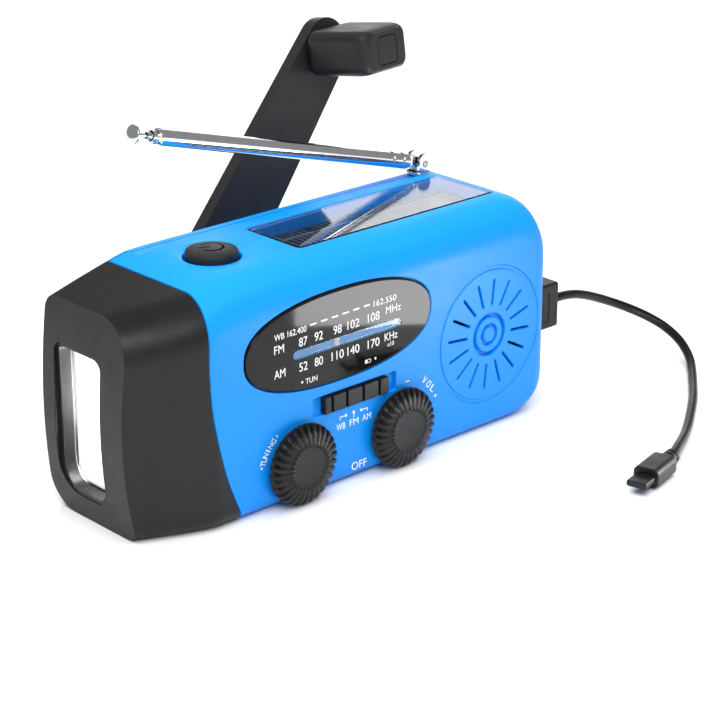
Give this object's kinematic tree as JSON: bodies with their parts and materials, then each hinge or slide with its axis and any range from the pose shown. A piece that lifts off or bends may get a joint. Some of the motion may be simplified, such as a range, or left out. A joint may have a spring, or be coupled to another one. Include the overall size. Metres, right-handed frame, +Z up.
{
  "type": "emergency radio",
  "caption": "Hand-held emergency radio with a torch at one end, solar panel, tuning dial, folding hand crank, telescopic antenna and a plugged-in charging lead.",
  "frame": {"origin": "middle of the case's underside, where the radio rests", "axes": "+X towards the end with the USB socket, so the torch shines towards -X; the dial and speaker face -Y and the crank is on the +Y side; +Z up"},
  "size_m": [0.1802, 0.1211, 0.0941],
  "materials": {
    "blue_shell": "gloss",
    "black_plastic": "satin",
    "grey_plastic": "satin",
    "clear_plastic": "clear gloss",
    "dial_black": "high gloss",
    "dial_blue": "matt",
    "pointer_white": "matt",
    "chrome": "polished",
    "steel": "satin",
    "solar_cell": "gloss",
    "led_yellow": "gloss",
    "nylon": "matt",
    "board_green": "satin",
    "copper": "satin",
    "magnet": "matt",
    "battery_wrap": "gloss",
    "speaker_paper": "matt",
    "cable_black": "satin"
  },
  "bodies": {
    "case": {"front_shell": "blue_shell", "rear_cover": "blue_shell", "cover_screw_1": "steel", "cover_screw_2": "steel", "cover_screw_3": "steel", "cover_screw_4": "steel", "torch_bezel": "black_plastic", "torch_lens": "clear_plastic", "torch_reflector": "chrome", "torch_led": "led_yellow", "solar_window": "clear_plastic", "solar_panel": "solar_cell", "torch_switch": "black_plastic", "dial_window": "dial_black", "dial_backing": "dial_blue", "tuning_capacitor": "nylon", "volume_control": "steel", "band_switch": "steel", "speaker_frame": "steel", "speaker_cone": "speaker_paper", "main_board": "board_green", "battery_cell": "battery_wrap", "ferrite_rod": "magnet", "aerial_coil": "copper", "usb_socket": "steel", "charge_socket": "steel", "idler_axle": "steel", "dynamo_stator": "copper", "gearbox_plate": "nylon", "crank_bush": "grey_plastic", "antenna_bracket": "steel"},
    "torch_button": {"torch_button": "grey_plastic"},
    "tuning": {"tuning_knob": "black_plastic", "tuning_drum": "nylon"},
    "pointer": {"dial_pointer": "pointer_white"},
    "volume": {"volume_knob": "black_plastic"},
    "band": {"band_slider": "black_plastic"},
    "crank": {"crank_hub": "grey_plastic", "crank_gear": "nylon", "crank_hinge_pin": "steel"},
    "idler": {"idler_gear": "nylon"},
    "rotor": {"dynamo_rotor": "magnet"},
    "arm": {"crank_arm": "grey_plastic", "handle_spindle": "steel"},
    "handle": {"crank_handle": "grey_plastic", "handle_cap": "grey_plastic"},
    "whip_base": {"antenna_swivel": "chrome", "antenna_pin": "steel"},
    "whip_1": {"antenna_tube_1": "chrome"},
    "whip_2": {"antenna_tube_2": "chrome"},
    "whip_3": {"antenna_tube_3": "chrome"},
    "whip_4": {"antenna_rod": "chrome", "antenna_tip": "chrome"},
    "lead": {"usb_plug": "black_plastic", "usb_cord": "cable_black", "phone_connector": "black_plastic"}
  },
  "joints": [
    {"name": "crank_turn", "type": "hinge", "parent": "case", "child": "crank", "pos_m": [-0.0225, 0.0246, 0.027], "axis": [0, 1, 0], "continuous": true},
    {"name": "idler_turn", "type": "hinge", "parent": "case", "child": "idler", "pos_m": [-0.00579, 0.01, 0.03369], "axis": [0, 1, 0], "continuous": true},
    {"name": "dynamo_turn", "type": "hinge", "parent": "case", "child": "rotor", "pos_m": [0.0072, 0.004, 0.0342], "axis": [0, 1, 0], "continuous": true},
    {"name": "crank_fold", "type": "hinge", "parent": "crank", "child": "arm", "pos_m": [-0.0225, 0.0246, 0.027], "axis": [-0.6665, 0, 0.7455], "range_deg": [-12.3, 147.7]},
    {"name": "handle_spin", "type": "hinge", "parent": "arm", "child": "handle", "pos_m": [0.04269, 0.04367, 0.08529], "axis": [-0.1588, 0.977, -0.142], "continuous": true},
    {"name": "antenna_swivel", "type": "hinge", "parent": "case", "child": "whip_base", "pos_m": [0.052, 0.017, 0.0591], "axis": [0, 0, 1], "range_deg": [0, 270]},
    {"name": "antenna_tilt", "type": "hinge", "parent": "whip_base", "child": "whip_1", "pos_m": [0.052, 0.017, 0.0591], "axis": [0, 1, 0], "range_deg": [-15.3, 74.7]},
    {"name": "antenna_section_2", "type": "slide", "parent": "whip_1", "child": "whip_2", "axis": [-0.9646, 0, 0.2639], "range_m": [0, 0.068]},
    {"name": "antenna_section_3", "type": "slide", "parent": "whip_2", "child": "whip_3", "axis": [-0.9646, 0, 0.2639], "range_m": [0, 0.068]},
    {"name": "antenna_section_4", "type": "slide", "parent": "whip_3", "child": "whip_4", "axis": [-0.9646, 0, 0.2639], "range_m": [0, 0.068]},
    {"name": "torch_press", "type": "slide", "parent": "case", "child": "torch_button", "axis": [0, 0, -1], "range_m": [0, 0.0008], "stiffness_N_per_m": 500},
    {"name": "volume_turn", "type": "hinge", "parent": "case", "child": "volume", "pos_m": [0.0099, -0.02, 0.0102], "axis": [0, 1, 0], "range_deg": [0, 285]},
    {"name": "tuning_turn", "type": "hinge", "parent": "case", "child": "tuning", "pos_m": [-0.0218, -0.02, 0.0102], "axis": [0, 1, 0], "range_deg": [-98, 135.7]},
    {"name": "pointer_travel", "type": "slide", "parent": "case", "child": "pointer", "axis": [1, 0, 0], "range_m": [-0.013, 0.018]},
    {"name": "band_slide", "type": "slide", "parent": "case", "child": "band", "axis": [1, 0, 0], "range_m": [-0.002, 0.002]},
    {"name": "usb_plug_pull", "type": "slide", "parent": "case", "child": "lead", "axis": [1, 0, 0], "range_m": [0, 0.0125]}
  ],
  "couplings": [
    {"joint": "idler_turn", "follows": "crank_turn", "ratio": -2.6},
    {"joint": "dynamo_turn", "follows": "crank_turn", "ratio": 4.16},
    {"joint": "pointer_travel", "follows": "tuning_turn", "m_per_rad": 0.0076}
  ]
}
